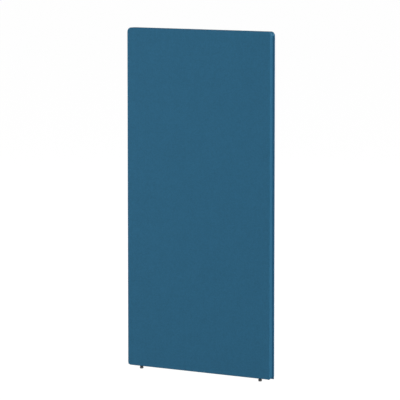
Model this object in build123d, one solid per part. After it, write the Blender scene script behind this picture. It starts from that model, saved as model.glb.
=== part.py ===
from build123d import *
import os

# Office floor screen: a timber frame with sound-absorbing slabs in its bays, padded on both
# faces and covered in stretched fabric. A half zip stands out of the seam on each upright
# side, so that screens can be linked, and two screw feet level it.
# Millimetres. X runs along the width, the front face looks along -Y, Z is up.
# The origin is on the floor, under the middle of the panel.

# Panel
panel_width = 800.0
panel_height = 1600.0
panel_thickness = 40.0
stand_height = 16.0
corner_radius_top = 20.0
corner_radius_bottom = 14.0
edge_radius = 6.0

# Layers, from the outside in
cover_thickness = 1.2
wadding_thickness = 5.0
cover_gap = 6.0

# Timber frame
timber_width = 38.0
arris_radius = 5.0
bay_count = 3
dowel_radius = 4.0
dowel_length = 30.0
dowel_spacing = 14.0
dowel_glue_gap = 0.1
dowel_end_gap = 1.0
dowel_chamfer = 1.0

# Closing strip under the bottom rail, and what holds it and the covers
strip_thickness = 1.0
strip_width = 22.0
strip_end_setback = 24.0
staples_per_row = 9
staple_row_spacing = 14.0
staple_crown = 10.0
staple_leg = 8.0
staple_wire = 0.8
staple_foot_margin = 30.0
pin_count = 7
pin_radius = 0.8
pin_length = 14.0
pin_head_radius = 1.8
pin_head_height = 0.7

# Screw feet
foot_inset = 66.0
foot_radius = 8.5
foot_rounding = 2.4
foot_round_height = 9.0
foot_hex_across_flats = 14.5
washer_radius = 8.2
washer_thickness = 1.0
stud_radius = 4.0
foot_travel = 15.0
thread_engagement = 17.0
thread_pitch = 1.25
thread_depth_share = 0.64
stud_end_gap = 1.0
stud_flange_radius = 5.6
stud_flange_height = 2.5
stud_floor_cover = 3.0
insert_radius = 6.0
insert_length = 20.0
insert_flange_radius = 9.0
insert_flange_height = 1.0
thread_clearance = 0.1
foot_hole_clearance = 1.0
washer_clearance = 0.3

# Linking zips. The left one is sewn in closer, which keeps its box and slider behind the edge.
tape_thickness = 0.8
left_tape_out = 2.0
right_tape_out = 6.3
tape_top_setback = 20.0
tape_bottom_setback = 0.5
bead_width = 0.8
tooth_length = 1.9
tooth_pitch = 3.6
tooth_share = 0.5
tooth_thickness = 2.4
stop_height = 4.0
stop_proud = 0.3
moulding_rounding = 0.3
end_piece_height = 9.0
chain_end_gap = 1.0

# Zip slider and pull
slider_height = 12.0
slider_wall = 0.9
slider_clearance = 0.25
slider_post_length = 3.0
slider_post_width = 0.8
slider_edge_rounding = 0.6
bridge_radius = 0.7
bridge_stand = 1.7
bridge_drop = 4.0
lug_width = 1.0
pull_width = 4.2
pull_length = 20.0
pull_thickness = 1.2
pull_eye_clearance = 0.2
pull_end_radius = 1.6

# Box at the foot of the left zip and pin at the foot of the right one
pin_bar_width = 2.4
box_wall = 1.0
box_floor = 2.0
box_slot_clearance = 0.3

# One overrun for all cuts
overrun = 5.0

panel_base = stand_height
panel_top = stand_height + panel_height
side_face = panel_width / 2
frame_inset = cover_thickness + wadding_thickness
frame_side = side_face - frame_inset
frame_base = panel_base + cover_thickness
frame_top = panel_top - frame_inset
frame_depth = panel_thickness - 2 * frame_inset
bay_width = 2 * (frame_side - timber_width)
rail_count = bay_count + 1
bay_height = (frame_top - frame_base - rail_count * timber_width) / bay_count
foot_x = side_face - foot_inset
strip_face = panel_base - strip_thickness
washer_face = strip_face - washer_thickness
foot_hex_height = washer_face - foot_round_height
foot_hole_radius = stud_radius + foot_hole_clearance
stud_top = frame_base + foot_travel + thread_engagement
tape_base = panel_base + tape_bottom_setback
tape_top = panel_top - tape_top_setback
tape_edges = {-1: side_face + left_tape_out, 1: side_face + right_tape_out}
chain_width = bead_width + tooth_length
chain_base = tape_base + end_piece_height + chain_end_gap
chain_top = tape_top - stop_height - chain_end_gap
slider_inner_thickness = tooth_thickness + 2 * slider_clearance
slider_thickness = slider_inner_thickness + 2 * slider_wall
slider_base = tape_base + end_piece_height + slider_clearance
slider_travel = chain_top - slider_base - slider_height
slider_out = tape_edges[-1] + chain_width + slider_clearance + slider_post_width / 2
channel_half_width = slider_out - tape_edges[-1] + slider_clearance
slider_half_width = channel_half_width + slider_wall
bridge_y = slider_thickness / 2 + bridge_stand
bridge_z = slider_base + slider_height - bridge_drop


def block(x0, x1, y0, y1, z0, z1):
    """A box given by its lowest and highest corners."""
    size = Box(x1 - x0, y1 - y0, z1 - z0)
    return Pos((x0 + x1) / 2, (y0 + y1) / 2, (z0 + z1) / 2) * size


def rod(x, y, z0, z1, radius):
    """An upright round bar from z0 to z1."""
    return Pos(x, y, (z0 + z1) / 2) * Cylinder(radius, z1 - z0)


def panel_form(inset, base_inset, rounding):
    """The panel's body, drawn in by an inset all round and by another at its base."""
    low = panel_base + base_inset
    high = panel_top - inset
    sheet = Rectangle(panel_width - 2 * inset, high - low)
    face = Plane.XZ * Pos(0, (low + high) / 2) * sheet
    face = fillet(face.vertices().group_by(Axis.Z)[-1], corner_radius_top - inset)
    face = fillet(face.vertices().group_by(Axis.Z)[0], corner_radius_bottom - inset)
    form = extrude(face, panel_thickness / 2 - inset, both=True)
    rims = form.edges().group_by(Axis.Y)
    return fillet(rims[0] + rims[-1], rounding)


def front_half():
    """The half space in front of the seam, as a large block."""
    reach = panel_width
    return block(-reach, reach, -panel_thickness, 0, 0, panel_top + overrun)


def rail_base(row):
    """The height of the underside of a rail, counted from the bottom one."""
    return frame_base + row * (timber_width + bay_height)


def zip_tape(side):
    """The woven tape, held in the seam and standing out of the panel's side."""
    x0, x1 = sorted((side * frame_side, side * tape_edges[side]))
    half = tape_thickness / 2
    return block(x0, x1, -half, half, tape_base, tape_top)


def zip_chain(side):
    """A row of moulded teeth on the tape's corded edge."""
    edge = tape_edges[side]
    root = edge + bead_width
    tip = root + tooth_length
    tooth_height = tooth_pitch * tooth_share
    points = [(edge, chain_base)]
    for tooth in range(int((chain_top - chain_base) / tooth_pitch)):
        z = chain_base + tooth * tooth_pitch
        points += [(tip, z), (tip, z + tooth_height)]
        points += [(root, z + tooth_height), (root, z + tooth_pitch)]
    points.append((edge, points[-1][1]))
    outline = [(side * x, z) for x, z in points]
    profile = make_face(Plane.XZ * Polyline(*outline, close=True))
    return extrude(profile, tooth_thickness / 2, both=True)


def zip_top_stop(side):
    """The moulded stop that ends the row of teeth."""
    edge = tape_edges[side]
    x0, x1 = sorted((side * edge, side * (edge + chain_width + stop_proud)))
    half = tooth_thickness / 2 + stop_proud
    stop = block(x0, x1, -half, half, tape_top - stop_height, tape_top)
    return fillet(stop.edges().filter_by(Axis.Z), moulding_rounding)


def zip_pin():
    """The pin at the foot of the right zip, which enters the next screen's box."""
    half = tooth_thickness / 2
    edge = tape_edges[1]
    outer = edge + bead_width + pin_bar_width
    pin = block(edge, outer, -half, half, tape_base, tape_base + end_piece_height)
    return chamfer(pin.faces().sort_by(Axis.Z)[0].edges(), moulding_rounding)


def zip_box():
    """The box at the foot of the left zip, with its slot for the next screen's pin."""
    half = tooth_thickness / 2 + box_wall
    slot_half = tooth_thickness / 2 + box_slot_clearance
    tape_half = tape_thickness / 2 + box_slot_clearance
    next_tape_edge = 2 * slider_out - tape_edges[-1]
    slot_start = next_tape_edge - bead_width - pin_bar_width - box_slot_clearance
    slot_end = next_tape_edge + box_slot_clearance
    outer = slot_end + box_wall
    top = tape_base + end_piece_height
    low = tape_base + box_floor
    body = block(-outer, -tape_edges[-1], -half, half, tape_base, top)
    slot = block(-slot_end, -slot_start, -slot_half, slot_half, low, top + overrun)
    tape_way = block(-outer - overrun, -slot_start, -tape_half, tape_half, low, top + overrun)
    return fillet(body.edges().filter_by(Axis.Z), moulding_rounding) - slot - tape_way


def zip_slider():
    """The slider on the left zip: two plates with flanges, a post and a bridge."""
    half = slider_thickness / 2
    inner_half = slider_inner_thickness / 2
    top = slider_base + slider_height
    body = block(-slider_half_width, slider_half_width, -half, half, slider_base, top)
    body = fillet(body.edges().filter_by(Axis.Y), slider_edge_rounding)
    low, high = slider_base - overrun, top + overrun
    channel = block(-channel_half_width, channel_half_width, -inner_half, inner_half, low, high)
    tape_half = tape_thickness / 2 + slider_clearance
    reach = slider_half_width + overrun
    tape_way = block(-reach, reach, -tape_half, tape_half, low, high)
    post_half = slider_post_width / 2
    post = block(-post_half, post_half, -inner_half, inner_half, top - slider_post_length, top)
    bar_length = pull_width + 2 * (lug_width + pull_eye_clearance)
    slider = body - channel - tape_way + post
    slider += Pos(0, bridge_y, bridge_z) * Rot(0, 90, 0) * Cylinder(bridge_radius, bar_length)
    lug_low, lug_high = bridge_z - bridge_radius, bridge_z + bridge_radius
    for end in (-1, 1):
        x = end * (bar_length - lug_width) / 2
        x0, x1 = x - lug_width / 2, x + lug_width / 2
        slider += block(x0, x1, inner_half, bridge_y + bridge_radius, lug_low, lug_high)
    return Pos(-slider_out, 0, 0) * slider


def zip_pull():
    """The flat tab that hangs on the slider's bridge."""
    half_width = pull_width / 2
    half_thickness = pull_thickness / 2
    low = bridge_z - pull_length
    tab = block(-half_width, half_width, bridge_y - half_thickness, bridge_y + half_thickness, low, bridge_z)
    tab = fillet(tab.faces().sort_by(Axis.Z)[0].edges().filter_by(Axis.Y), pull_end_radius)
    pivot = Pos(0, bridge_y, bridge_z) * Rot(0, 90, 0)
    knuckle = pivot * Cylinder(bridge_stand - pull_eye_clearance, pull_width)
    eye = pivot * Cylinder(bridge_radius + pull_eye_clearance, pull_width + overrun)
    return Pos(-slider_out, 0, 0) * (tab + knuckle - eye)


def foot_stud(x):
    """The threaded stud, with the flange that the moulding grips."""
    base = stud_floor_cover
    shank = rod(x, 0, base, stud_top, stud_radius)
    shank = chamfer(shank.edges().sort_by(Axis.Z)[-1], thread_pitch * thread_depth_share)
    return shank + rod(x, 0, base, base + stud_flange_height, stud_flange_radius)


def foot_base(x):
    """The moulded foot: a round base below a hexagon for a spanner."""
    round_part = rod(x, 0, 0, foot_round_height, foot_radius)
    round_part = fillet(round_part.edges().group_by(Axis.Z)[0], foot_rounding)
    hexagon = RegularPolygon(foot_hex_across_flats / 2, 6, major_radius=False)
    collar = extrude(Pos(x, 0, foot_round_height) * hexagon, foot_hex_height)
    return round_part + collar - foot_stud(x)


def foot_washer(x):
    """The loose washer between the foot and the closing strip."""
    ring = rod(x, 0, washer_face, strip_face, washer_radius)
    return ring - rod(x, 0, washer_face - overrun, strip_face + overrun, stud_radius + washer_clearance)


def foot_insert(x):
    """The flanged nut that is driven into the bottom rail."""
    flange_top = frame_base + insert_flange_height
    barrel = rod(x, 0, frame_base, frame_base + insert_length, insert_radius)
    flange = rod(x, 0, frame_base, flange_top, insert_flange_radius)
    low, high = frame_base - overrun, frame_base + insert_length + overrun
    return barrel + flange - rod(x, 0, low, high, stud_radius + thread_clearance)


def foot_way(x):
    """The room that the stud needs through the rail, the covers and the strip."""
    return rod(x, 0, strip_face - overrun, stud_top + stud_end_gap, foot_hole_radius)


def staples():
    """The staples that hold both covers under the bottom rail."""
    run = foot_x - staple_foot_margin
    pitch = 2 * run / (staples_per_row - 1)
    half_wire = staple_wire / 2
    pieces = []
    for row in (-1, 1):
        y = row * staple_row_spacing / 2
        for place in range(staples_per_row):
            x = -run + place * pitch
            x0, x1 = x - staple_crown / 2, x + staple_crown / 2
            y0, y1 = y - half_wire, y + half_wire
            crown_top = panel_base + staple_wire
            leg_top = panel_base + staple_leg
            staple = block(x0, x1, y0, y1, panel_base, crown_top)
            staple += block(x0, x0 + staple_wire, y0, y1, panel_base, leg_top)
            staple += block(x1 - staple_wire, x1, y0, y1, panel_base, leg_top)
            pieces.append(staple)
    return pieces


def strip_pins():
    """The pins that hold the closing strip, in the gap between the covers."""
    run = foot_x - staple_foot_margin
    pitch = 2 * run / (pin_count - 1)
    pieces = []
    for place in range(pin_count):
        x = -run + place * pitch
        shank = rod(x, 0, strip_face, strip_face + pin_length, pin_radius)
        pieces.append(shank + rod(x, 0, strip_face, strip_face + pin_head_height, pin_head_radius))
    return pieces


def dowel(x, y, z, radius, length):
    """A round bar along X, for a dowel or for its hole."""
    return Pos(x, y, z) * Rot(0, 90, 0) * Cylinder(radius, length)


def dowel_places():
    """The middle of every dowel, on the joints between stiles and rails."""
    places = []
    for row in range(rail_count):
        z = rail_base(row) + timber_width / 2
        for side in (-1, 1):
            for row_side in (-1, 1):
                places.append((side * bay_width / 2, row_side * dowel_spacing / 2, z))
    return places


def dowels():
    """All the dowels, as separate solids."""
    pieces = []
    for x, y, z in dowel_places():
        bar = dowel(x, y, z, dowel_radius, dowel_length)
        pieces.append(chamfer(bar.edges().filter_by(GeomType.CIRCLE), dowel_chamfer))
    return pieces


def dowel_hole(place):
    """The hole that a dowel is glued into, through both timbers."""
    return dowel(*place, dowel_radius + dowel_glue_gap, dowel_length + 2 * dowel_end_gap)


def cut(piece, tools):
    """Take every tool away from a piece."""
    for tool in tools:
        piece = piece - tool
    return piece


def frame_pieces():
    """Stiles and rails, cut from one rounded frame form."""
    form = panel_form(frame_inset, cover_thickness, arris_radius)
    inner, outer = bay_width / 2, side_face + overrun
    low, high = panel_base - overrun, panel_top + overrun
    pieces = {}
    for name, side in (("left_stile", -1), ("right_stile", 1)):
        x0, x1 = sorted((side * inner, side * outer))
        zone = block(x0, x1, -panel_thickness, panel_thickness, low, high)
        holes = [dowel_hole(place) for place in dowel_places() if place[0] * side > 0]
        pieces[name] = cut(form & zone, holes)
    names = ["bottom_rail", "lower_cross_rail", "upper_cross_rail", "top_rail"]
    for row, name in enumerate(names):
        low = rail_base(row)
        high = low + timber_width
        zone = block(-inner, inner, -panel_thickness, panel_thickness, low, high)
        holes = [dowel_hole(place) for place in dowel_places() if low < place[2] < high]
        pieces[name] = cut(form & zone, holes)
    fittings = staples() + strip_pins()
    for side in (-1, 1):
        fittings += [foot_way(side * foot_x), foot_insert(side * foot_x)]
    pieces["bottom_rail"] = cut(pieces["bottom_rail"], fittings)
    return pieces


def core_slabs():
    """The sound-absorbing slab in each bay of the frame."""
    half_depth = frame_depth / 2
    slabs = {}
    for row, name in enumerate(["lower_core_slab", "middle_core_slab", "upper_core_slab"]):
        low = rail_base(row) + timber_width
        slabs[name] = block(-bay_width / 2, bay_width / 2, -half_depth, half_depth, low, low + bay_height)
    return slabs


def soft_layers():
    """Covers and wadding, each as a front and a rear tray that meet at the seam."""
    outside = panel_form(0, 0, edge_radius)
    lining = panel_form(cover_thickness, cover_thickness, edge_radius - cover_thickness)
    frame = panel_form(frame_inset, cover_thickness, arris_radius)
    half_gap = cover_gap / 2
    straight = side_face - corner_radius_bottom
    seam_gap = block(-straight, straight, -half_gap, half_gap, panel_base - overrun, frame_base)
    tapes = [zip_tape(-1), zip_tape(1)]
    feet = [foot_way(-foot_x), foot_way(foot_x)]
    cover = cut(outside - lining - seam_gap, tapes + feet + staples())
    wadding = cut(lining - frame, tapes)
    front = front_half()
    return {
        "front_cover": cover & front,
        "rear_cover": cover - front,
        "front_wadding": wadding & front,
        "rear_wadding": wadding - front,
    }


def closing_strip():
    """The strip that hides the covers' edges under the bottom rail."""
    half_length = side_face - strip_end_setback
    half_width = strip_width / 2
    strip = block(-half_length, half_length, -half_width, half_width, strip_face, panel_base)
    return cut(strip, [foot_way(-foot_x), foot_way(foot_x)] + strip_pins())


def save(name, piece):
    """Write one node, made of one solid or of a group of separate solids."""
    if isinstance(piece, list):
        piece = Compound(children=piece)
    export_step(piece, f"parts/{name}.step")
    print(name, "solids", len(piece.solids()), "volume", round(piece.volume))


def main():
    os.makedirs("parts", exist_ok=True)
    nodes = dict(frame_pieces())
    nodes.update(core_slabs())
    nodes.update(soft_layers())
    nodes["frame_dowels"] = dowels()
    nodes["closing_strip"] = closing_strip()
    nodes["cover_staples"] = staples()
    nodes["strip_pins"] = strip_pins()
    for name, side in (("left", -1), ("right", 1)):
        nodes[f"{name}_zip_tape"] = zip_tape(side)
        nodes[f"{name}_zip_teeth"] = zip_chain(side)
        nodes[f"{name}_zip_top_stop"] = zip_top_stop(side)
        nodes[f"{name}_foot_insert"] = foot_insert(side * foot_x)
        nodes[f"{name}_foot_washer"] = foot_washer(side * foot_x)
        nodes[f"{name}_foot_stud"] = foot_stud(side * foot_x)
        nodes[f"{name}_foot_base"] = foot_base(side * foot_x)
    nodes["left_zip_box"] = zip_box()
    nodes["right_zip_pin"] = zip_pin()
    nodes["zip_slider"] = zip_slider()
    nodes["zip_pull"] = zip_pull()
    for name, piece in nodes.items():
        save(name, piece)
    print("slider travel", round(slider_travel, 2), "bridge", round(bridge_y, 2), round(bridge_z, 2))
    right_link = tape_edges[1] + chain_width + slider_clearance + slider_post_width / 2
    print("slider centre x", round(-slider_out, 3), "right link x", round(right_link, 3))
    print("foot x", foot_x, "turns", round(foot_travel / thread_pitch, 2))


main()
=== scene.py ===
import math

import bmesh
import bpy
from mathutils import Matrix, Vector, noise as solid_noise


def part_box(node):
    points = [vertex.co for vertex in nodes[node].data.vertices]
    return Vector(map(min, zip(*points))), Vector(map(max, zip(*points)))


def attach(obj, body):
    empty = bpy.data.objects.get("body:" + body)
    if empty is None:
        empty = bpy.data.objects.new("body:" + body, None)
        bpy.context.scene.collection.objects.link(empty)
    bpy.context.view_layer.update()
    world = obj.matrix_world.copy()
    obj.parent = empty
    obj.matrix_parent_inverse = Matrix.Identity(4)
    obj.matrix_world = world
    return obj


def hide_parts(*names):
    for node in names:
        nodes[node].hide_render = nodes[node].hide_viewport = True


# Looks of an office floor screen: fabric covers with rolled seams, moulded linking zips,
# black screw feet, and the timber, wool and wadding inside. Metres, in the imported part's frame.

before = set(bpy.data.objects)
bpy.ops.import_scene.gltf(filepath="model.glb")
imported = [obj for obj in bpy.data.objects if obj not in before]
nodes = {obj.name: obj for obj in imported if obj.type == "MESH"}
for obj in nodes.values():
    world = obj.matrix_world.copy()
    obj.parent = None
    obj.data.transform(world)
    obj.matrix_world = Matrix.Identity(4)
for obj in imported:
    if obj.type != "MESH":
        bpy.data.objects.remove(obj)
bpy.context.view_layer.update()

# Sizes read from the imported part
cover_low, cover_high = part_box("front_cover")
tape_low, tape_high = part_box("right_zip_tape")
STRIP_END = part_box("closing_strip")[1].x
SIDE = cover_high.x
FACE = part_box("rear_cover")[1].y
BASE = cover_low.z
TOP = cover_high.z

# The cover's form: its corners and edges, the rolled seam in the middle of the sides with room for the
# zip tapes, the gathers at the corners, and the ears and padding of cloth drawn in under the panel
TOP_CORNER = 0.020
BOTTOM_CORNER = 0.014
EDGE = 0.0036
SEAM_ROLL = 0.0016
SEAM_DEPTH = 0.0022
SEAM_HALF_GAP = 0.00045
SHUT_HALF_GAP = 0.00004
SEAM_CLOSING = 0.0015
BOTTOM_HALF_GAP = 0.003
BOTTOM_SEAM_DEPTH = 0.0011
STRIP_LAP = 0.005
FACE_CELL = 0.010
CORNER_STEPS = 10
EDGE_STEPS = 7
ROLL_STEPS = 5
WALL_STEPS = 4
GATHER_TOP = 0.00022
GATHER_BOTTOM = 0.00034
CORNER_BULK = 0.0005
GATHER_FOLDS = 4.5
FRONT_EAR = 0.0034
REAR_EAR = 0.0018
UNDER_PAD = 0.0017
UNDER_REACH = 0.009
SIDE_ON = EDGE / 2
FACING_DOWN = -0.8
STRAIGHT_DOWN = -0.99

# Slight gathers where the seam holds stretched cloth: height, length and phase of each wave
SEAM_PUCKERS = [(0.00009, 0.037, 0.0), (0.00006, 0.0213, 1.3)]

# The simulated crown of the padded faces, and the faint broad waves over it
CROWN = 0.0011
SIM_CELL = 0.020
SIM_FRAMES = 24
SIM_LOAD = 1.2
WAVE_HEIGHT = 0.00045
WAVE_SCALE = 4.2
WAVE_REACH = 0.12
WAVE_APART = 7.0

# The felted layers inside
FELT_CELL = 0.04
TUFT_SCALE = 60.0
WADDING_TUFT = 0.0005
WOOL_TUFT = 0.0006

# Zips
TOOTH_PITCH = 0.0036
TOOTH_HEIGHT = 0.0018
TOOTH_POINTS = 10
TOOTH_SQUARING = 0.6
CORD_RADIUS = 0.0008
CORD_STEPS = 10
CORD_START = math.radians(-150.0)
CORD_SWEEP = math.radians(300.0)
TAPE_HALF = 0.0004
TAPE_STEP = 0.006
TAPE_WAVE = 0.00011

# The two waves along a tape: share of the height, length and phase
TAPE_WAVE_SHARES = [(1.0, 0.047, 0.0), (0.6, 0.029, 1.0)]

# Sections of one tooth from its root to its tip: share of the length, half height, half thickness
TOOTH_SECTION_SHARES = [
    (0.00, 0.42, 0.44),
    (0.05, 0.49, 0.50),
    (0.27, 0.49, 0.50),
    (0.37, 0.30, 0.40),
    (0.58, 0.33, 0.38),
    (0.76, 0.50, 0.38),
    (0.93, 0.49, 0.36),
    (1.00, 0.36, 0.26),
]

# Thread of the foot studs
THREAD_PITCH = 0.00125
THREAD_DEPTH = 0.0008
THREAD_ROWS = 8
THREAD_COLUMNS = 28
GROOVE_STEEPNESS = 1.3
CREST_SHARE = 0.15
STUD_RADIUS = 0.004
STUD_FLANGE_RADIUS = 0.0056
STUD_FLANGE_HEIGHT = 0.0025

# Clean-up of carried-over shapes, and the angles that keep an edge sharp
WELD = 1e-6
FLAT_ANGLE = math.radians(1.0)
MOULDED_ANGLE = math.radians(35.0)
FELT_ANGLE = math.radians(40.0)
RIM_ANGLE = math.radians(50.0)

# Light and view, fitted to the photograph
CAMERA_PLACE = (7.6233, -11.3301, 2.2523)
CAMERA_YAW = math.radians(33.9362)
CAMERA_PITCH = math.radians(5.9771)
FOCAL_PIXELS = 2950.6
PICTURE_PIXELS = 400
SENSOR = 36.0
VIEW_REACH = 400.0
MIDDLE = Vector((0.0, 0.0, 0.8))
FLOOR_HALF = 120.0
FLOOR_SHADE = 0.13
FLOOR_GLOW = 0.965
WORLD_LIGHT = 0.33
CEILING_SHARE = 0.35

# A distant key low on the right, two fills at the left, and two lamps behind:
# azimuth and elevation in degrees, distance, size, watts
LAMPS = {
    "key": (65.0, 10.0, 18.0, 4.0, 3700.0),
    "fill": (-40.0, 20.0, 4.0, 2.0, 36.0),
    "side": (-55.0, 4.0, 6.0, 2.5, 105.0),
    "rim": (-110.0, 8.0, 7.0, 2.5, 220.0),
    "back": (168.0, 10.0, 9.0, 3.0, 430.0),
}


def new_material(name):
    """A node material, with its tree and its shader."""
    material = bpy.data.materials.new(name)
    material.use_nodes = True
    tree = material.node_tree
    return material, tree, tree.nodes["Principled BSDF"]


def node(tree, kind, **values):
    """A node of that kind, with its settings and unlinked inputs set by name."""
    made = tree.nodes.new(kind)
    for key, value in values.items():
        if hasattr(made, key):
            setattr(made, key, value)
        else:
            made.inputs[key.replace("_", " ")].default_value = value
    return made


def math_node(tree, operation, *values):
    """One sum or function of numbers or sockets; returns its result."""
    made = tree.nodes.new("ShaderNodeMath")
    made.operation = operation
    for place, value in enumerate(values):
        if isinstance(value, (int, float)):
            made.inputs[place].default_value = value
        else:
            tree.links.new(value, made.inputs[place])
    return made.outputs[0]


def noise(tree, vector, scale, detail=2.0, roughness=0.5):
    """Noise at so many cycles a metre; returns its value from 0 to 1."""
    made = node(tree, "ShaderNodeTexNoise", Scale=scale, Detail=detail, Roughness=roughness)
    tree.links.new(vector, made.inputs["Vector"])
    return made.outputs["Fac"]


def ramp(tree, factor, stops):
    """A colour ramp through (place, colour) stops."""
    made = tree.nodes.new("ShaderNodeValToRGB")
    elements = made.color_ramp.elements
    while len(elements) < len(stops):
        elements.new(0.5)
    for element, (place, colour) in zip(elements, stops):
        element.position = place
        element.color = (*colour, 1.0)
    tree.links.new(factor, made.inputs["Fac"])
    return made.outputs["Color"]


def object_place(tree):
    """The point on the part, in metres."""
    return tree.nodes.new("ShaderNodeTexCoord").outputs["Object"]


def split_axes(tree, vector):
    """The X, Y and Z of a vector."""
    made = tree.nodes.new("ShaderNodeSeparateXYZ")
    tree.links.new(vector, made.inputs[0])
    return made.outputs


def scaled(tree, vector, scale):
    """A vector with each axis scaled by its own number."""
    made = tree.nodes.new("ShaderNodeMapping")
    made.inputs["Scale"].default_value = scale
    tree.links.new(vector, made.inputs["Vector"])
    return made.outputs["Vector"]


def add_bump(tree, shader, height, distance, strength=1.0):
    """Bump from a height of 0 to 1 that stands for so many metres."""
    made = node(tree, "ShaderNodeBump", Strength=strength, Distance=distance)
    tree.links.new(height, made.inputs["Height"])
    tree.links.new(made.outputs["Normal"], shader.inputs["Normal"])


def tinted(colour, factor):
    """A colour made lighter or darker."""
    return tuple(min(1.0, channel * factor) for channel in colour)


def weave_height(tree, u, v, pitch):
    """Plain weave: the height of the upper thread over a cloth of that thread pitch."""
    across = math_node(tree, "SINE", math_node(tree, "MULTIPLY", u, math.pi / pitch))
    along = math_node(tree, "SINE", math_node(tree, "MULTIPLY", v, math.pi / pitch))
    crossing = math_node(tree, "MULTIPLY", across, along)
    warp = math_node(tree, "ADD", math_node(tree, "ABSOLUTE", across), crossing)
    weft = math_node(tree, "SUBTRACT", math_node(tree, "ABSOLUTE", along), crossing)
    return math_node(tree, "MULTIPLY", math_node(tree, "MAXIMUM", warp, weft), 0.5)


def summed(tree, layers):
    """Tones added up, each by its share."""
    (first, first_share), *others = layers
    total = math_node(tree, "MULTIPLY", first, first_share)
    for tone, share in others:
        total = math_node(tree, "MULTIPLY_ADD", tone, share, total)
    return total


def thread_tone(tree, coordinate, pitch, seed):
    """A random tone from 0 to 1 for each thread."""
    count = math_node(tree, "FLOOR", math_node(tree, "DIVIDE", coordinate, pitch))
    made = node(tree, "ShaderNodeTexWhiteNoise", noise_dimensions="1D")
    tree.links.new(math_node(tree, "ADD", count, seed), made.inputs["W"])
    return made.outputs["Value"]


FABRIC = (0.0215, 0.1082, 0.1925)
FABRIC_FLECK = (0.0329, 0.1313, 0.2236)
FABRIC_PITCH = 0.0011
THREAD_WANDER = FABRIC_PITCH * 1.3
WANDER_SCALE = 420.0
FLECK_SCALE = 900.0
MOTTLE_SCALE = 170.0
CLOUD_SCALE = 16.0
FUZZ_HEIGHT = 0.00022
WARP_SEED = 11.0
WEFT_SEED = 307.0


def fabric_material(name, cloth_map):
    """Crepe-like wool blend: a fine weave of two close blues, slightly mottled, with painted shade in the
    hollows between the threads.

    With cloth_map its threads follow the sheet, and otherwise the part's X and Y.
    """
    material, tree, shader = new_material(name)
    place = object_place(tree)
    threads_at = node(tree, "ShaderNodeUVMap", uv_map="cloth").outputs["UV"] if cloth_map else place
    axes = split_axes(tree, threads_at)
    wander = math_node(tree, "MULTIPLY", noise(tree, place, WANDER_SCALE), THREAD_WANDER)
    u = math_node(tree, "ADD", axes["X"], wander)
    v = math_node(tree, "SUBTRACT", axes["Y"], wander)
    height = weave_height(tree, u, v, FABRIC_PITCH)
    warp_tone = thread_tone(tree, u, FABRIC_PITCH, WARP_SEED)
    weft_tone = thread_tone(tree, v, FABRIC_PITCH, WEFT_SEED)
    threads = math_node(tree, "MULTIPLY", math_node(tree, "ADD", warp_tone, weft_tone), 0.5)
    fleck = noise(tree, place, FLECK_SCALE, detail=3.0, roughness=0.7)
    mottle = noise(tree, place, MOTTLE_SCALE, detail=3.0, roughness=0.6)
    cloudy = noise(tree, place, CLOUD_SCALE, detail=3.0, roughness=0.55)
    # The weave height's share darkens the colour where the threads dip, which is painted shade in the
    # hollows of the weave. The other shares are the cloth's own random tone.
    tone = summed(tree, [
        (threads, 0.07),
        (fleck, 0.14),
        (mottle, 0.56),
        (cloudy, 0.10),
        (height, 0.13),
    ])
    colour = ramp(tree, tone, [
        (0.18, tinted(FABRIC, 0.68)),
        (0.45, tinted(FABRIC, 0.96)),
        (0.60, tinted(FABRIC, 1.10)),
        (0.85, FABRIC_FLECK),
    ])
    tree.links.new(colour, shader.inputs["Base Color"])
    shader.inputs["Roughness"].default_value = 0.78
    shader.inputs["Specular IOR Level"].default_value = 0.10
    shader.inputs["Sheen Weight"].default_value = 0.04
    shader.inputs["Sheen Roughness"].default_value = 0.40
    shader.inputs["Sheen Tint"].default_value = (0.75, 0.82, 0.90, 1.0)
    fuzz = math_node(tree, "MULTIPLY_ADD", fleck, 0.35, height)
    add_bump(tree, shader, fuzz, FUZZ_HEIGHT, strength=0.7)
    return material


# Tape blue, painted darker for shade in the rib troughs and lighter for highlight on the rib crests
TAPE_TROUGH_SHADE = (0.012, 0.088, 0.170)
TAPE_CREST_HIGHLIGHT = (0.018, 0.118, 0.222)
RIB_PITCH = 0.0007
RIB_HEIGHT = 0.0001
HERRINGBONE = 0.0012


def tape_material():
    """Zip tape: a herringbone of fine twill ribs, its blue painted darker in the rib troughs as shade and
    lighter on the crests as highlight.
    """
    material, tree, shader = new_material("zip_tape")
    axes = split_axes(tree, object_place(tree))
    slant = math_node(tree, "ADD", axes["Z"], math_node(tree, "PINGPONG", axes["X"], HERRINGBONE))
    ribs = math_node(tree, "SINE", math_node(tree, "MULTIPLY", slant, 2 * math.pi / RIB_PITCH))
    height = math_node(tree, "MULTIPLY_ADD", ribs, 0.5, 0.5)
    tree.links.new(ramp(tree, height, [(0.1, TAPE_TROUGH_SHADE), (0.9, TAPE_CREST_HIGHLIGHT)]), shader.inputs["Base Color"])
    shader.inputs["Roughness"].default_value = 0.8
    shader.inputs["Specular IOR Level"].default_value = 0.3
    add_bump(tree, shader, height, RIB_HEIGHT)
    return material


def moulded_material(name, colour, roughness, grain, depth):
    """Moulded plastic or enamel: a fine grain, with slight wear that dulls it in places."""
    material, tree, shader = new_material(name)
    place = object_place(tree)
    fine = noise(tree, place, grain, detail=3.0, roughness=0.6)
    broad = noise(tree, place, grain / 18.0)
    colours = ramp(tree, broad, [(0.3, tinted(colour, 0.86)), (0.7, tinted(colour, 1.2))])
    tree.links.new(colours, shader.inputs["Base Color"])
    dulled = math_node(tree, "MULTIPLY_ADD", broad, 0.16, roughness)
    tree.links.new(dulled, shader.inputs["Roughness"])
    add_bump(tree, shader, fine, depth, strength=0.6)
    return material


STREAK_HEIGHT = 0.00005


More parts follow.
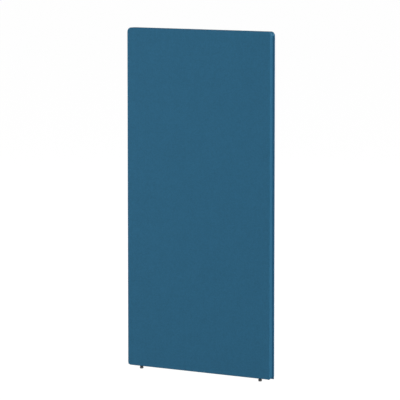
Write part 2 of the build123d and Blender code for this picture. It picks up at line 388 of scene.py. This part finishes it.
def metal_material(name, colour, roughness, streak_scale):
    """Zinc-plated or drawn steel with fine streaks."""
    material, tree, shader = new_material(name)
    stretched = scaled(tree, object_place(tree), streak_scale)
    streaks = noise(tree, stretched, 1.0, detail=3.0, roughness=0.6)
    colours = ramp(tree, streaks, [(0.3, tinted(colour, 0.82)), (0.7, tinted(colour, 1.12))])
    tree.links.new(colours, shader.inputs["Base Color"])
    shader.inputs["Metallic"].default_value = 1.0
    dulled = math_node(tree, "MULTIPLY_ADD", streaks, 0.2, roughness)
    tree.links.new(dulled, shader.inputs["Roughness"])
    add_bump(tree, shader, streaks, STREAK_HEIGHT, strength=0.5)
    return material


FIBRE_HEIGHT = 0.0002


def wood_material(name, light, dark, grain_scale):
    """Planed timber: grain drawn out along one axis, with darker growth rings."""
    material, tree, shader = new_material(name)
    stretched = scaled(tree, object_place(tree), grain_scale)
    bands = node(tree, "ShaderNodeTexWave", Scale=1.0, Distortion=5.0, Detail=3.0, Detail_Scale=1.6)
    tree.links.new(stretched, bands.inputs["Vector"])
    fibres = noise(tree, stretched, 9.0, detail=4.0, roughness=0.7)
    tone = summed(tree, [(bands.outputs["Fac"], 0.55), (fibres, 0.45)])
    tree.links.new(ramp(tree, tone, [(0.2, light), (0.8, dark)]), shader.inputs["Base Color"])
    shader.inputs["Roughness"].default_value = 0.62
    add_bump(tree, shader, fibres, FIBRE_HEIGHT, strength=0.5)
    return material


def fibre_material(name, light, dark, scale, depth):
    """Felted fibres: layered noise with a rough bump."""
    material, tree, shader = new_material(name)
    place = object_place(tree)
    strands = noise(tree, scaled(tree, place, (1.0, 2.2, 0.6)), scale, detail=5.0, roughness=0.75)
    tufts = noise(tree, place, scale / 9.0, detail=3.0)
    tone = summed(tree, [(strands, 0.6), (tufts, 0.4)])
    tree.links.new(ramp(tree, tone, [(0.35, dark), (0.65, light)]), shader.inputs["Base Color"])
    shader.inputs["Roughness"].default_value = 0.95
    add_bump(tree, shader, strands, depth)
    return material


def dress(material, names):
    """Give carried-over nodes their finish."""
    for name in names:
        mesh = nodes[name].data
        mesh.materials.clear()
        mesh.materials.append(material)


def new_piece(name, shell, material, node_name, body="panel"):
    """Make a piece from a finished bmesh, in place of a node of the part."""
    bmesh.ops.recalc_face_normals(shell, faces=shell.faces)
    for face in shell.faces:
        face.smooth = True
    mesh = bpy.data.meshes.new(name)
    shell.to_mesh(mesh)
    shell.free()
    mesh.materials.append(material)
    piece = bpy.data.objects.new(name, mesh)
    bpy.context.scene.collection.objects.link(piece)
    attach(piece, body)
    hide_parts(node_name)
    return piece


def ring_faces(shell, first, second):
    """Join two closed rings of vertices with a band of quads."""
    for index in range(len(first)):
        following = (index + 1) % len(first)
        shell.faces.new((first[index], first[following], second[following], second[index]))


def cap_ring(shell, ring):
    """Close a ring of vertices with one face."""
    shell.faces.new(ring)


CORNERS = [
    (Vector((SIDE - BOTTOM_CORNER, 0.0, BASE + BOTTOM_CORNER)), BOTTOM_CORNER, -90.0, GATHER_BOTTOM),
    (Vector((SIDE - TOP_CORNER, 0.0, TOP - TOP_CORNER)), TOP_CORNER, 0.0, GATHER_TOP),
    (Vector((-SIDE + TOP_CORNER, 0.0, TOP - TOP_CORNER)), TOP_CORNER, 90.0, GATHER_TOP),
    (Vector((-SIDE + BOTTOM_CORNER, 0.0, BASE + BOTTOM_CORNER)), BOTTOM_CORNER, 180.0, GATHER_BOTTOM),
]
SIDE_CELLS = round((TOP - BASE - TOP_CORNER - BOTTOM_CORNER) / FACE_CELL)
ACROSS_CELLS = round(2 * (SIDE - TOP_CORNER) / FACE_CELL)
CELLS = [SIDE_CELLS, ACROSS_CELLS, SIDE_CELLS, ACROSS_CELLS]


def outward(degrees):
    """The unit vector at an angle from +X towards +Z."""
    angle = math.radians(degrees)
    return Vector((math.cos(angle), 0.0, math.sin(angle)))


def outline_stations():
    """Stations around the panel's outline, from the foot of its right side.

    Each has its place, the direction out of the panel, how far gathered cloth stands out, and
    the share of the ear of cloth at a lower corner: positive at the right, negative at the left.
    """
    stations = []
    for index, (centre, radius, start, gather) in enumerate(CORNERS):
        for step in range(CORNER_STEPS + 1):
            share = step / CORNER_STEPS
            out = outward(start + 90.0 * share)
            fold = gather * math.sin(GATHER_FOLDS * 2 * math.pi * share)
            arch = math.sin(math.pi * share)
            at_foot = gather == GATHER_BOTTOM
            bulk = CORNER_BULK if at_foot else 0.0
            ear = math.copysign(arch, centre.x) if at_foot else 0.0
            stations.append((centre + out * radius, out, (fold + bulk) * arch, ear))
        next_centre, next_radius, next_start, _ = CORNERS[(index + 1) % 4]
        out = outward(next_start)
        first = stations[-1][0]
        goal = next_centre + out * next_radius
        for step in range(1, CELLS[index]):
            stations.append((first.lerp(goal, step / CELLS[index]), out, 0.0, 0.0))
    return stations


STATIONS = outline_stations()


def waves_at(run, waves):
    """The sum of sine waves at a place along a run, each with its height, length and phase."""
    return sum(height * math.sin(run * 2 * math.pi / length + phase) for height, length, phase in waves)


def cover_profile():
    """The cover's section from its seam to the rim of the flat face: (inset, depth behind the face)."""
    half = FACE - SEAM_HALF_GAP
    profile = [(SEAM_ROLL + SEAM_DEPTH, half)]
    for step in range(ROLL_STEPS + 1):
        angle = math.radians(90.0 * step / ROLL_STEPS)
        profile.append((SEAM_ROLL * (1 - math.sin(angle)), half - SEAM_ROLL * (1 - math.cos(angle))))
    wall_back = half - SEAM_ROLL
    for step in range(1, WALL_STEPS):
        profile.append((0.0, wall_back + (EDGE - wall_back) * step / WALL_STEPS))
    for step in range(EDGE_STEPS + 1):
        angle = math.radians(90.0 * step / EDGE_STEPS)
        profile.append((EDGE * (1 - math.cos(angle)), EDGE * (1 - math.sin(angle))))
    profile.append(((EDGE + BOTTOM_CORNER) / 2, 0.0))
    return profile


def simulated_crown():
    """The crown of a padded face: a sheet held all round under an even load, as heights on a grid."""
    columns = round(2 * (SIDE - EDGE) / SIM_CELL)
    rows = round((TOP - BASE - 2 * EDGE) / SIM_CELL)
    shell = bmesh.new()
    grid = []
    for row in range(rows + 1):
        z = BASE + EDGE + (TOP - BASE - 2 * EDGE) * row / rows
        grid.append([shell.verts.new(((SIDE - EDGE) * (2 * column / columns - 1), 0.0, z))
                     for column in range(columns + 1)])
    for row in range(rows):
        for column in range(columns):
            near, far = grid[row], grid[row + 1]
            shell.faces.new((near[column], near[column + 1], far[column + 1], far[column]))
    mesh = bpy.data.meshes.new("crown_sheet")
    shell.to_mesh(mesh)
    shell.free()
    sheet = bpy.data.objects.new("crown_sheet", mesh)
    scene = bpy.context.scene
    scene.collection.objects.link(sheet)
    width = columns + 1
    held = [row * width + column for row in range(rows + 1) for column in range(width)
            if row in (0, rows) or column in (0, columns)]
    sheet.vertex_groups.new(name="held").add(held, 1.0, "REPLACE")
    cloth = sheet.modifiers.new("cloth", "CLOTH")
    cloth.settings.vertex_group_mass = "held"
    cloth.settings.quality = 5
    cloth.settings.mass = 0.3
    cloth.settings.air_damping = 4.0
    cloth.point_cache.frame_start = 1
    cloth.point_cache.frame_end = SIM_FRAMES
    gravity = scene.gravity.copy()
    scene.gravity = (0.0, SIM_LOAD, 0.0)
    for moment in range(1, SIM_FRAMES + 1):
        scene.frame_set(moment)
    settled = sheet.evaluated_get(bpy.context.evaluated_depsgraph_get()).to_mesh()
    heights = [vertex.co.y for vertex in settled.vertices]
    scene.frame_set(1)
    scene.gravity = gravity
    bpy.data.objects.remove(sheet)
    peak = max(heights)
    return [[heights[row * width + column] / peak for column in range(width)] for row in range(rows + 1)]


CROWN_GRID = simulated_crown()


def crown_at(x, z):
    """The simulated crown at a place on the face, from 0 to 1."""
    rows, columns = len(CROWN_GRID) - 1, len(CROWN_GRID[0]) - 1
    u = min(max((x + SIDE - EDGE) / (2 * (SIDE - EDGE)), 0.0), 1.0) * columns
    v = min(max((z - BASE - EDGE) / (TOP - BASE - 2 * EDGE), 0.0), 1.0) * rows
    column, row = min(int(u), columns - 1), min(int(v), rows - 1)
    u, v = u - column, v - row
    low = CROWN_GRID[row][column] * (1 - u) + CROWN_GRID[row][column + 1] * u
    high = CROWN_GRID[row + 1][column] * (1 - u) + CROWN_GRID[row + 1][column + 1] * u
    return low * (1 - v) + high * v


def face_lift(x, z, facing):
    """How far the face stands out: the crown, and the faint broad waves of padded cloth."""
    edge = min(SIDE - abs(x), z - BASE, TOP - z)
    share = min(max(edge / WAVE_REACH, 0.0), 1.0)
    waves = solid_noise.noise(Vector((x * WAVE_SCALE, WAVE_APART * facing, z * WAVE_SCALE)))
    return CROWN * crown_at(x, z) + WAVE_HEIGHT * waves * share


def seam_half_gap(place):
    """Half the gap between the covers at their seam: room for a zip tape, or sewn shut beyond it."""
    beyond = max(tape_low.x - abs(place.x), place.z - tape_high.z + SEAM_CLOSING, 0.0)
    shut = min(beyond / SEAM_CLOSING, 1.0)
    return SEAM_HALF_GAP * (1 - shut) + SHUT_HALF_GAP * shut


def cover_cloth(name, facing, material):
    """One cover, a single sheet from its seam over the face and under the bottom rail.

    facing is -1 for the front and +1 for the rear.
    """
    shell = bmesh.new()
    cloth_map = shell.loops.layers.uv.new("cloth")
    flat = {}
    profile = cover_profile()
    rim_inset = profile[-1][0]
    to_rim = [0.0]
    for (inset, depth), (past_inset, past_depth) in zip(profile[::-1], profile[-2::-1]):
        to_rim.append(to_rim[-1] + math.hypot(past_inset - inset, past_depth - depth))
    ear_size = FRONT_EAR if facing < 0 else REAR_EAR
    rings = []
    for (inset, depth), length in zip(profile, reversed(to_rim)):
        on_side = min(max((depth - SIDE_ON) / (FACE - SIDE_ON), 0.0), 1.0)
        ring = []
        run = 0.0
        previous = STATIONS[0][0]
        for place, out, gather, ear in STATIONS:
            run += (place - previous).length
            previous = place
            stand_out = on_side * (gather + waves_at(run, SEAM_PUCKERS))
            stand_out += ear_size * (1 - on_side) * max(-facing * ear, 0.0)
            stand_out += UNDER_PAD * max(-out.z, 0.0) ** 2 * max(1 - depth / UNDER_REACH, 0.0)
            sunk = min(inset, BOTTOM_SEAM_DEPTH) if out.z < FACING_DOWN and depth > EDGE else inset
            point = place - out * (sunk - stand_out)
            seam_share = max(depth - EDGE, 0.0) / (FACE - SEAM_HALF_GAP - EDGE)
            y_depth = depth + (SEAM_HALF_GAP - seam_half_gap(place)) * seam_share
            if out.z < STRAIGHT_DOWN and abs(place.x) < STRIP_END - STRIP_LAP:
                y_depth = min(depth, FACE - BOTTOM_HALF_GAP)
                if depth > FACE - SEAM_ROLL - SEAM_HALF_GAP:
                    point.z = BASE
            point.y = facing * (FACE - y_depth)
            vert = shell.verts.new(point)
            cut = place - out * rim_inset + out * length
            flat[vert] = (cut.x, cut.z)
            ring.append(vert)
        rings.append(ring)
    for outer, inner in zip(rings, rings[1:]):
        ring_faces(shell, outer, inner)
    fill_face(shell, rings[-1], facing, flat)
    for face in shell.faces:
        for loop in face.loops:
            loop[cloth_map].uv = flat[loop.vert]
    return new_piece(name + "_cloth", shell, material, name)


def fill_face(shell, rim, facing, flat):
    """Fill the face inside the rim with a grid of cells, and a fan at each corner."""
    centres = [corner[0] for corner in CORNERS]
    right_low, right_high, left_high, left_low = centres
    grid = []
    for row in range(SIDE_CELLS + 1):
        left = left_low.lerp(left_high, row / SIDE_CELLS)
        right = right_low.lerp(right_high, row / SIDE_CELLS)
        line = []
        for column in range(ACROSS_CELLS + 1):
            point = left.lerp(right, column / ACROSS_CELLS)
            point.y = facing * (FACE + face_lift(point.x, point.z, facing))
            vert = shell.verts.new(point)
            flat[vert] = (point.x, point.z)
            line.append(vert)
        grid.append(line)
    for near, far in zip(grid, grid[1:]):
        for column in range(ACROSS_CELLS):
            shell.faces.new((near[column], near[column + 1], far[column + 1], far[column]))
    borders = [
        [line[-1] for line in grid],
        grid[-1][::-1],
        [line[0] for line in reversed(grid)],
        grid[0],
    ]
    start = 0
    for border, cells in zip(borders, CELLS):
        for step in range(CORNER_STEPS):
            shell.faces.new((rim[start + step], rim[start + step + 1], border[0]))
        start += CORNER_STEPS
        for step in range(cells):
            following = rim[(start + step + 1) % len(rim)]
            shell.faces.new((rim[start + step], following, border[step + 1], border[step]))
        start += cells


def node_shell(name):
    """The shape of a node of the part, without doubled points and needless edges."""
    shell = bmesh.new()
    shell.from_mesh(nodes[name].data)
    bmesh.ops.remove_doubles(shell, verts=shell.verts, dist=WELD)
    bmesh.ops.dissolve_limit(shell, angle_limit=FLAT_ANGLE, verts=shell.verts, edges=shell.edges)
    return shell


def felted(name, material, depth):
    """A soft layer from its plain solid: cut into cells, with the uneven surface of packed fibres."""
    shell = node_shell(name)
    low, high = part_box(name)
    for axis in (0, 2):
        count = max(2, round((high[axis] - low[axis]) / FELT_CELL))
        normal = Vector((0.0, 0.0, 0.0))
        normal[axis] = 1.0
        for step in range(1, count):
            point = low.lerp(high, step / count)
            geometry = list(shell.verts) + list(shell.edges) + list(shell.faces)
            bmesh.ops.bisect_plane(shell, geom=geometry, plane_co=point, plane_no=normal)
    shell.normal_update()
    moves = []
    for vert in shell.verts:
        tuft = 0.5 + 0.5 * solid_noise.noise(vert.co * TUFT_SCALE)
        moves.append((vert, vert.normal * (-depth * tuft)))
    for vert, move in moves:
        vert.co += move
    piece = new_piece(name + "_felt", shell, material, name)
    piece.data.set_sharp_from_angle(angle=FELT_ANGLE)


def zip_tape_weave(side, name, material):
    """Woven tape with a corded edge, slightly wavy along its length."""
    low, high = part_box(name)
    inner = min(abs(low.x), abs(high.x))
    outer = max(abs(low.x), abs(high.x))
    section = [(inner, -TAPE_HALF), ((inner + outer) / 2, -TAPE_HALF), (outer - TAPE_HALF, -TAPE_HALF)]
    for step in range(CORD_STEPS + 1):
        angle = CORD_START + CORD_SWEEP * step / CORD_STEPS
        x = outer + CORD_RADIUS * (1 + math.cos(angle)) / 2
        section.append((x, CORD_RADIUS * math.sin(angle)))
    section += [(outer - TAPE_HALF, TAPE_HALF), ((inner + outer) / 2, TAPE_HALF), (inner, TAPE_HALF)]
    shell = bmesh.new()
    rows = round((high.z - low.z) / TAPE_STEP)
    rings = []
    for row in range(rows + 1):
        z = low.z + (high.z - low.z) * row / rows
        wave = TAPE_WAVE * waves_at(z, TAPE_WAVE_SHARES) / sum(share for share, _, _ in TAPE_WAVE_SHARES)
        ring = []
        for x, y in section:
            share = min(max((x - SIDE) / (outer - SIDE), 0.0), 1.0)
            ring.append(shell.verts.new((side * x, y + wave * share, z)))
        rings.append(ring)
    for first, second in zip(rings, rings[1:]):
        ring_faces(shell, first, second)
    cap_ring(shell, rings[0])
    cap_ring(shell, rings[-1])
    piece = new_piece(name + "_weave", shell, material, name)
    piece.data.set_sharp_from_angle(angle=RIM_ANGLE)


def squared(value):
    """A sine or cosine that turns a circle into a square with round corners."""
    return math.copysign(abs(value) ** TOOTH_SQUARING, value)


def zip_teeth_row(side, name, material):
    """Moulded teeth, each with a root that clamps the cord, a neck and a rounded head."""
    low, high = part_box(name)
    root = min(abs(low.x), abs(high.x))
    length = max(abs(low.x), abs(high.x)) - root
    thickness = high.y - low.y
    shell = bmesh.new()
    for tooth in range(round((high.z - low.z) / TOOTH_PITCH)):
        middle = low.z + tooth * TOOTH_PITCH + TOOTH_HEIGHT / 2
        rings = []
        for share, half_height, half_thickness in TOOTH_SECTION_SHARES:
            ring = []
            for point in range(TOOTH_POINTS):
                angle = 2 * math.pi * (point + 0.5) / TOOTH_POINTS
                z = squared(math.cos(angle)) * half_height * TOOTH_HEIGHT
                y = squared(math.sin(angle)) * half_thickness * thickness
                ring.append(shell.verts.new((side * (root + share * length), y, middle + z)))
            rings.append(ring)
        for first, second in zip(rings, rings[1:]):
            ring_faces(shell, first, second)
        cap_ring(shell, rings[0])
        cap_ring(shell, rings[-1])
    new_piece(name + "_moulded", shell, material, name)


def softened(name, material, body, width):
    """A hard node's own shape with its sharp edges slightly rounded."""
    shell = node_shell(name)
    paired = [edge for edge in shell.edges if len(edge.link_faces) == 2]
    sharp = [edge for edge in paired if edge.calc_face_angle() > MOULDED_ANGLE]
    bmesh.ops.bevel(
        shell,
        geom=sharp,
        offset=width,
        segments=2,
        profile=0.5,
        affect="EDGES",
        clamp_overlap=True,
    )
    piece = new_piece(name + "_moulded", shell, material, name, body)
    piece.data.set_sharp_from_angle(angle=MOULDED_ANGLE)


def threaded_stud(name, material, body):
    """The stud with its cut thread, a chamfered top and the flange at its foot."""
    low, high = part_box(name)
    middle_x = (low.x + high.x) / 2
    shank = low.z + STUD_FLANGE_HEIGHT
    rows = [(low.z, STUD_FLANGE_RADIUS, False), (shank, STUD_FLANGE_RADIUS, False)]
    count = round((high.z - shank) / THREAD_PITCH * THREAD_ROWS)
    for row in range(count + 1):
        rows.append((shank + (high.z - shank) * row / count, STUD_RADIUS, True))
    shell = bmesh.new()
    rings = []
    for z, radius, threaded in rows:
        ring = []
        for column in range(THREAD_COLUMNS):
            turn = column / THREAD_COLUMNS
            here = radius
            if threaded:
                groove = 1 - abs(2 * ((z / THREAD_PITCH - turn) % 1.0) - 1)
                cut = min(max(GROOVE_STEEPNESS * groove - CREST_SHARE, 0.0), 1.0)
                here = radius - THREAD_DEPTH * cut
                here = min(here, radius - THREAD_DEPTH + high.z - z)
            angle = 2 * math.pi * turn
            ring.append(shell.verts.new((middle_x + here * math.cos(angle), here * math.sin(angle), z)))
        rings.append(ring)
    for first, second in zip(rings, rings[1:]):
        ring_faces(shell, first, second)
    cap_ring(shell, rings[0])
    cap_ring(shell, rings[-1])
    piece = new_piece(name + "_threaded", shell, material, name, body)
    piece.data.set_sharp_from_angle(angle=RIM_ANGLE)


# Colours of the plain finishes
PINE_LIGHT = (0.66, 0.49, 0.30)
PINE_DARK = (0.47, 0.31, 0.17)
BEECH_LIGHT = (0.70, 0.50, 0.32)
BEECH_DARK = (0.55, 0.36, 0.22)
WOOL_LIGHT = (0.62, 0.54, 0.28)
WOOL_DARK = (0.44, 0.37, 0.17)
WADDING_LIGHT = (0.86, 0.86, 0.84)
WADDING_DARK = (0.72, 0.72, 0.70)
FOOT_BLACK = (0.012, 0.012, 0.013)
ZIP_BLUE = (0.020, 0.085, 0.150)
ZINC = (0.62, 0.63, 0.64)
STEEL = (0.60, 0.60, 0.60)

# How far moulded edges are eased
FOOT_EASING = 0.0005
PIN_EASING = 0.0003
SMALL_EASING = 0.0002

fabric = fabric_material("cover_fabric", True)
strip_fabric = fabric_material("strip_fabric", False)
timber = wood_material("timber", PINE_LIGHT, PINE_DARK, grain_scale=(55.0, 55.0, 3.0))
rail_timber = wood_material("rail_timber", PINE_LIGHT, PINE_DARK, grain_scale=(3.0, 55.0, 55.0))
beech = wood_material("beech", BEECH_LIGHT, BEECH_DARK, grain_scale=(6.0, 90.0, 90.0))
wool = fibre_material("mineral_wool", WOOL_LIGHT, WOOL_DARK, scale=260.0, depth=0.0012)
wadding = fibre_material("wadding", WADDING_LIGHT, WADDING_DARK, scale=300.0, depth=0.0008)
black_plastic = moulded_material("foot_plastic", FOOT_BLACK, roughness=0.50, grain=2600.0, depth=0.00006)
blue_plastic = moulded_material("zip_teeth", ZIP_BLUE, roughness=0.40, grain=3200.0, depth=0.00003)
blue_enamel = moulded_material("slider_metal", ZIP_BLUE, roughness=0.32, grain=2400.0, depth=0.00003)
zinc = metal_material("zinc_steel", ZINC, roughness=0.28, streak_scale=(900.0, 900.0, 90.0))
wire = metal_material("staple_wire", STEEL, roughness=0.32, streak_scale=(300.0, 2500.0, 2500.0))
tape = tape_material()

for cover, facing in (("front_cover", -1), ("rear_cover", 1)):
    cloth = cover_cloth(cover, facing, fabric)

for layer in ("front_wadding", "rear_wadding"):
    felted(layer, wadding, WADDING_TUFT)
for slab in ("lower_core_slab", "middle_core_slab", "upper_core_slab"):
    felted(slab, wool, WOOL_TUFT)

for side_name, side in (("left", -1), ("right", 1)):
    zip_tape_weave(side, f"{side_name}_zip_tape", tape)
    zip_teeth_row(side, f"{side_name}_zip_teeth", blue_plastic)
    softened(f"{side_name}_zip_top_stop", blue_plastic, "panel", SMALL_EASING)
    foot, washer = f"{side_name}_foot", f"{side_name}_foot_washer"
    softened(foot + "_base", black_plastic, foot, FOOT_EASING)
    softened(washer, black_plastic, washer, SMALL_EASING)
    threaded_stud(foot + "_stud", zinc, foot)
softened("left_zip_box", blue_plastic, "panel", SMALL_EASING)
softened("right_zip_pin", blue_plastic, "panel", PIN_EASING)
softened("zip_slider", blue_enamel, "zip_slider", SMALL_EASING)
softened("zip_pull", blue_enamel, "zip_pull", SMALL_EASING)

dress(timber, ["left_stile", "right_stile"])
dress(rail_timber, ["bottom_rail", "lower_cross_rail", "upper_cross_rail", "top_rail"])
dress(beech, ["frame_dowels"])
dress(strip_fabric, ["closing_strip"])
dress(wire, ["cover_staples", "strip_pins"])
dress(zinc, ["left_foot_insert", "right_foot_insert"])


def seen_directly(tree):
    """1 for rays that show the background to the camera, in gloss or through glass."""
    path = tree.nodes.new("ShaderNodeLightPath")
    seen = math_node(tree, "MAXIMUM", path.outputs["Is Camera Ray"], path.outputs["Is Glossy Ray"])
    return math_node(tree, "MAXIMUM", seen, path.outputs["Is Transmission Ray"])


def make_floor():
    """A wide pale floor that keeps a faint shadow of the screen."""
    plate = bmesh.new()
    corners = [(-1, -1), (1, -1), (1, 1), (-1, 1)]
    plate.faces.new([plate.verts.new((x * FLOOR_HALF, y * FLOOR_HALF, 0.0)) for x, y in corners])
    mesh = bpy.data.meshes.new("floor")
    plate.to_mesh(mesh)
    plate.free()
    floor = bpy.data.objects.new("floor", mesh)
    bpy.context.scene.collection.objects.link(floor)
    material, tree, shader = new_material("floor")
    shader.inputs["Base Color"].default_value = (FLOOR_SHADE, FLOOR_SHADE, FLOOR_SHADE, 1.0)
    shader.inputs["Roughness"].default_value = 1.0
    shader.inputs["Specular IOR Level"].default_value = 0.0
    shader.inputs["Emission Color"].default_value = (1.0, 1.0, 1.0, 1.0)
    glow = math_node(tree, "MULTIPLY", seen_directly(tree), FLOOR_GLOW)
    tree.links.new(glow, shader.inputs["Emission Strength"])
    mesh.materials.append(material)


def make_world():
    """Even white surroundings, and a plain level of soft light, weaker from the ceiling than the walls."""
    world = bpy.data.worlds.new("studio")
    bpy.context.scene.world = world
    world.use_nodes = True
    tree = world.node_tree
    background = tree.nodes["Background"]
    background.inputs["Color"].default_value = (1.0, 1.0, 1.0, 1.0)
    direction = tree.nodes.new("ShaderNodeTexCoord").outputs["Generated"]
    upward = math_node(tree, "MAXIMUM", split_axes(tree, direction)["Z"], 0.0)
    light = math_node(tree, "MULTIPLY_ADD", upward, WORLD_LIGHT * (CEILING_SHARE - 1), WORLD_LIGHT)
    level = math_node(tree, "MAXIMUM", seen_directly(tree), light)
    tree.links.new(level, background.inputs["Strength"])


def around(azimuth, elevation, distance):
    """A place seen from the panel's middle, azimuth counted from its front towards +X."""
    flat = distance * math.cos(math.radians(elevation))
    x = flat * math.sin(math.radians(azimuth))
    y = -flat * math.cos(math.radians(azimuth))
    return MIDDLE + Vector((x, y, distance * math.sin(math.radians(elevation))))


def area_lamp(name, place, size, watts):
    """A square soft box that looks at the middle of the panel."""
    data = bpy.data.lights.new(name, "AREA")
    data.shape = "SQUARE"
    data.size = size
    data.energy = watts
    lamp = bpy.data.objects.new(name, data)
    bpy.context.scene.collection.objects.link(lamp)
    lamp.location = place
    lamp.rotation_euler = (MIDDLE - place).to_track_quat("-Z", "Y").to_euler()


def make_lights():
    """The soft boxes around the screen."""
    for name, (azimuth, elevation, distance, size, watts) in LAMPS.items():
        area_lamp(name, around(azimuth, elevation, distance), size, watts)


def make_camera():
    """The photograph's view."""
    data = bpy.data.cameras.new("camera")
    data.sensor_width = SENSOR
    data.lens = FOCAL_PIXELS * SENSOR / PICTURE_PIXELS
    data.clip_end = VIEW_REACH
    camera = bpy.data.objects.new("camera", data)
    bpy.context.scene.collection.objects.link(camera)
    camera.location = CAMERA_PLACE
    camera.rotation_euler = (math.pi / 2 - CAMERA_PITCH, 0.0, CAMERA_YAW)
    bpy.context.scene.camera = camera


make_floor()
make_world()
make_lights()
make_camera()
bpy.context.scene.view_settings.view_transform = "Standard"
